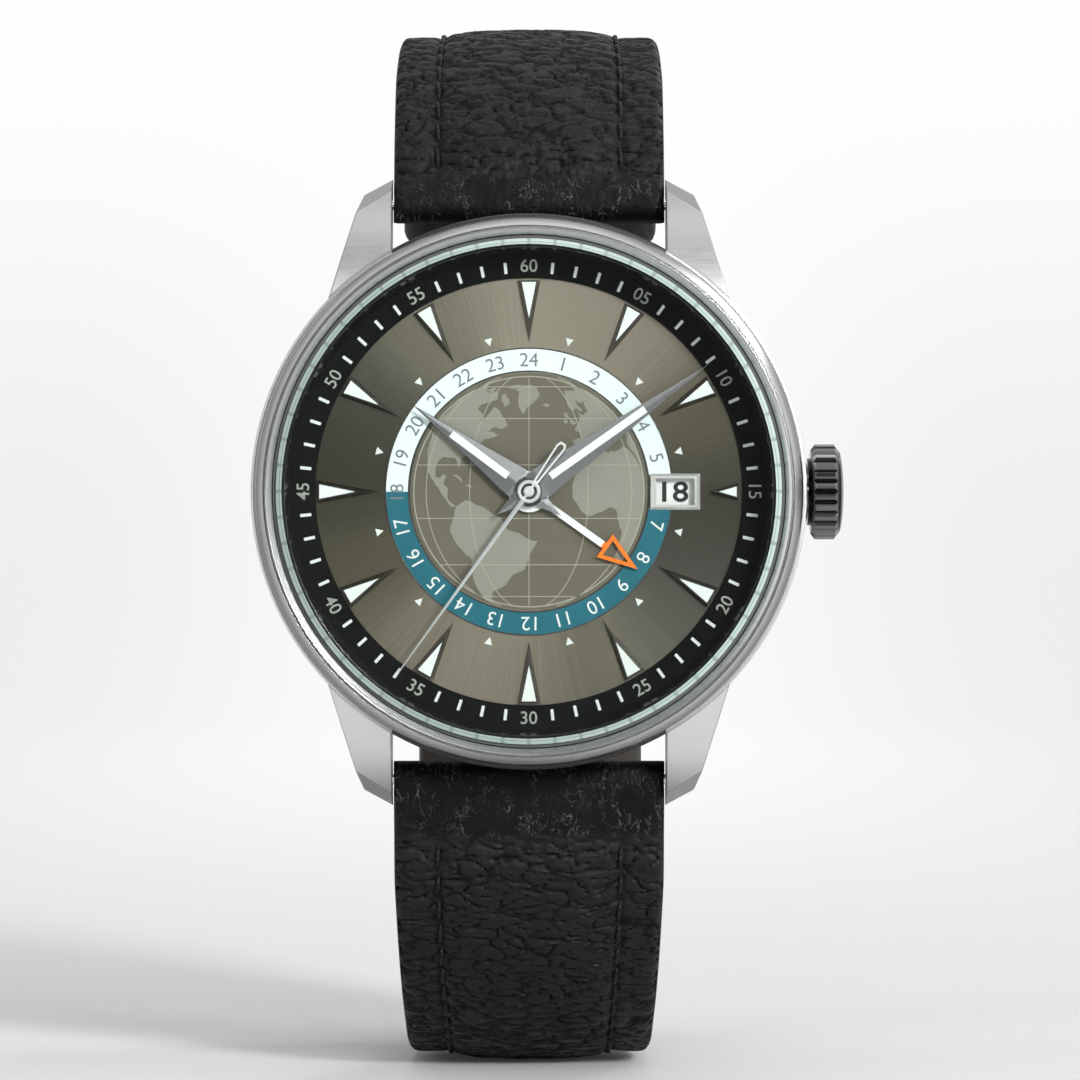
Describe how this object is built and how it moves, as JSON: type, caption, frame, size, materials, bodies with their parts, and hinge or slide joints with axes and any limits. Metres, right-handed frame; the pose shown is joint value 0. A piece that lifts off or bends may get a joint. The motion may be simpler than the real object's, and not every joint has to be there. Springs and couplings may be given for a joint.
{
  "type": "wristwatch",
  "caption": "Self-winding wristwatch with a second time zone hand, date window, screwed case back and buckled leather strap.",
  "frame": {"origin": "centre of the case back's rear face", "axes": "+Y out of the case back toward the wrist, +Z toward twelve o'clock, +X toward the crown at three o'clock"},
  "size_m": [0.043, 0.0622, 0.0786],
  "materials": {
    "case_steel": "satin and polished",
    "polished_steel": "polished",
    "sapphire": "clear",
    "seal_rubber": "matt",
    "dial_face": "sunburst",
    "ring_black": "satin",
    "lume": "luminous paint",
    "white_lacquer": "lacquered",
    "date_white": "printed",
    "plate_nickel": "nickel plated, grained",
    "train_brass": "gilt",
    "work_steel": "hardened",
    "blued_spring": "blued",
    "ruby": "polished",
    "strap_leather": "grained"
  },
  "bodies": {
    "case": {"mid_case": "case_steel", "bezel": "case_steel", "crystal": "sapphire", "crystal_gasket": "seal_rubber", "case_back": "case_steel", "back_crystal": "sapphire", "back_gasket": "seal_rubber", "movement_ring": "work_steel", "crown_tube": "polished_steel", "dial": "dial_face", "chapter_ring": "ring_black", "hour_markers": "polished_steel", "marker_lume": "lume", "date_frame": "polished_steel", "mainplate": "plate_nickel", "barrel_bridge": "plate_nickel", "train_bridge": "plate_nickel", "balance_cock": "plate_nickel", "automatic_bridge": "plate_nickel", "rotor_bearing": "work_steel", "hairspring": "blued_spring", "bridge_screws": "work_steel", "jewels": "ruby", "strap_upper": "strap_leather", "strap_lower": "strap_leather", "spring_bars": "polished_steel", "fixed_keeper": "strap_leather"},
    "minute": {"minute_hand": "polished_steel", "minute_hand_lume": "lume", "cannon_pinion": "work_steel", "centre_wheel": "train_brass"},
    "hour": {"hour_hand": "polished_steel", "hour_hand_lume": "lume", "hour_wheel": "train_brass"},
    "second_zone": {"gmt_hand": "white_lacquer", "gmt_wheel": "train_brass"},
    "seconds": {"seconds_hand": "polished_steel", "fourth_wheel": "train_brass"},
    "third": {"third_wheel": "train_brass"},
    "escape": {"escape_wheel": "work_steel"},
    "going_barrel": {"barrel": "train_brass", "mainspring": "work_steel"},
    "motion_wheel": {"minute_wheel": "train_brass"},
    "day_wheel": {"date_wheel": "train_brass"},
    "balance": {"balance_wheel": "train_brass"},
    "lever": {"pallet_fork": "work_steel"},
    "calendar": {"date_ring": "date_white"},
    "rotor": {"rotor": "work_steel"},
    "reverser": {"reverser_wheel": "train_brass"},
    "crown_seal": {"crown_gasket": "seal_rubber"},
    "crown": {"crown": "case_steel", "winding_stem": "work_steel"},
    "winding": {"winding_pinion": "work_steel"},
    "crown_gear": {"crown_wheel": "work_steel"},
    "ratchet": {"ratchet_wheel": "work_steel"},
    "clutch": {"sliding_pinion": "work_steel"},
    "setting": {"setting_lever": "work_steel"},
    "buckle": {"buckle_frame": "polished_steel"},
    "tongue": {"buckle_tongue": "polished_steel"},
    "keeper": {"free_keeper": "strap_leather"}
  },
  "joints": [
    {"name": "minute_turn", "type": "hinge", "parent": "case", "child": "minute", "pos_m": [0, -0.005, 0], "axis": [0, 1, 0], "continuous": true},
    {"name": "hour_turn", "type": "hinge", "parent": "case", "child": "hour", "pos_m": [0, -0.005, 0], "axis": [0, 1, 0], "continuous": true},
    {"name": "second_zone_turn", "type": "hinge", "parent": "case", "child": "second_zone", "pos_m": [0, -0.005, 0], "axis": [0, 1, 0], "continuous": true},
    {"name": "seconds_turn", "type": "hinge", "parent": "case", "child": "seconds", "pos_m": [0, -0.005, 0], "axis": [0, 1, 0], "continuous": true},
    {"name": "third_turn", "type": "hinge", "parent": "case", "child": "third", "pos_m": [-0.00056, -0.005, -0.00401], "axis": [0, 1, 0], "continuous": true},
    {"name": "escape_turn", "type": "hinge", "parent": "case", "child": "escape", "pos_m": [-0.00397, -0.005, -0.00084], "axis": [0, 1, 0], "continuous": true},
    {"name": "barrel_turn", "type": "hinge", "parent": "case", "child": "going_barrel", "pos_m": [0.00201, -0.005, 0.00553], "axis": [0, 1, 0], "continuous": true},
    {"name": "motion_wheel_turn", "type": "hinge", "parent": "case", "child": "motion_wheel", "pos_m": [0.0012, -0.005, -0.00208], "axis": [0, 1, 0], "continuous": true},
    {"name": "day_wheel_turn", "type": "hinge", "parent": "case", "child": "day_wheel", "pos_m": [-0.00541, -0.005, -0.00197], "axis": [0, 1, 0], "continuous": true},
    {"name": "balance_swing", "type": "hinge", "parent": "case", "child": "balance", "pos_m": [-0.0068, -0.005, 0.00459], "axis": [0, 1, 0], "range_deg": [-270, 270], "stiffness_Nm_per_rad": 0.00000035},
    {"name": "lever_swing", "type": "hinge", "parent": "case", "child": "lever", "pos_m": [-0.00485, -0.005, 0.00084], "axis": [0, 1, 0], "range_deg": [-6, 6]},
    {"name": "calendar_turn", "type": "hinge", "parent": "case", "child": "calendar", "pos_m": [0, -0.005, 0], "axis": [0, 1, 0], "continuous": true},
    {"name": "rotor_turn", "type": "hinge", "parent": "case", "child": "rotor", "pos_m": [0, -0.005, 0], "axis": [0, 1, 0], "continuous": true},
    {"name": "reverser_turn", "type": "hinge", "parent": "case", "child": "reverser", "pos_m": [-0.00246, -0.005, -0.00315], "axis": [0, 1, 0], "continuous": true},
    {"name": "crown_pull", "type": "slide", "parent": "case", "child": "crown_seal", "axis": [1, 0, 0], "range_m": [0, 0.0009]},
    {"name": "crown_turn", "type": "hinge", "parent": "crown_seal", "child": "crown", "pos_m": [0.0202, -0.0055, 0], "axis": [1, 0, 0], "continuous": true},
    {"name": "winding_pinion_turn", "type": "hinge", "parent": "case", "child": "winding", "pos_m": [0.009, -0.0055, 0], "axis": [1, 0, 0], "continuous": true},
    {"name": "crown_wheel_turn", "type": "hinge", "parent": "case", "child": "crown_gear", "pos_m": [0.00705, -0.005, 0], "axis": [0, 1, 0], "continuous": true},
    {"name": "ratchet_turn", "type": "hinge", "parent": "case", "child": "ratchet", "pos_m": [0.00201, -0.005, 0.00553], "axis": [0, 1, 0], "continuous": true},
    {"name": "clutch_slide", "type": "slide", "parent": "crown", "child": "clutch", "axis": [1, 0, 0], "range_m": [-0.0015, 0]},
    {"name": "setting_lever_turn", "type": "hinge", "parent": "case", "child": "setting", "pos_m": [0.0103, -0.005, -0.0022], "axis": [0, 1, 0], "range_deg": [0, 24]},
    {"name": "buckle_swing", "type": "hinge", "parent": "case", "child": "buckle", "pos_m": [0, 0.04445, 0], "axis": [1, 0, 0], "range_deg": [0, 6]},
    {"name": "tongue_swing", "type": "hinge", "parent": "buckle", "child": "tongue", "pos_m": [0, 0.04445, 0], "axis": [1, 0, 0], "range_deg": [0, 6]},
    {"name": "keeper_slide", "type": "hinge", "parent": "case", "child": "keeper", "pos_m": [0, 0.01615, 0.0052], "axis": [1, 0, 0], "range_deg": [-8, 8]}
  ],
  "couplings": [
    {"joint": "hour_turn", "follows": "minute_turn", "ratio": 0.083333},
    {"joint": "second_zone_turn", "follows": "minute_turn", "ratio": 0.041667},
    {"joint": "seconds_turn", "follows": "minute_turn", "ratio": 60},
    {"joint": "third_turn", "follows": "minute_turn", "ratio": -8},
    {"joint": "escape_turn", "follows": "minute_turn", "ratio": -720},
    {"joint": "barrel_turn", "follows": "minute_turn", "ratio": -0.16667},
    {"joint": "motion_wheel_turn", "follows": "minute_turn", "ratio": -0.33333},
    {"joint": "day_wheel_turn", "follows": "minute_turn", "ratio": -0.041667},
    {"joint": "reverser_turn", "follows": "rotor_turn", "ratio": -0.66667},
    {"joint": "winding_pinion_turn", "follows": "crown_turn", "ratio": 1},
    {"joint": "crown_wheel_turn", "follows": "crown_turn", "ratio": -0.33333},
    {"joint": "ratchet_turn", "follows": "crown_turn", "ratio": 0.20667},
    {"joint": "clutch_slide", "follows": "crown_pull", "ratio": -1.6667},
    {"joint": "setting_lever_turn", "follows": "crown_pull", "rad_per_m": 454.5}
  ]
}
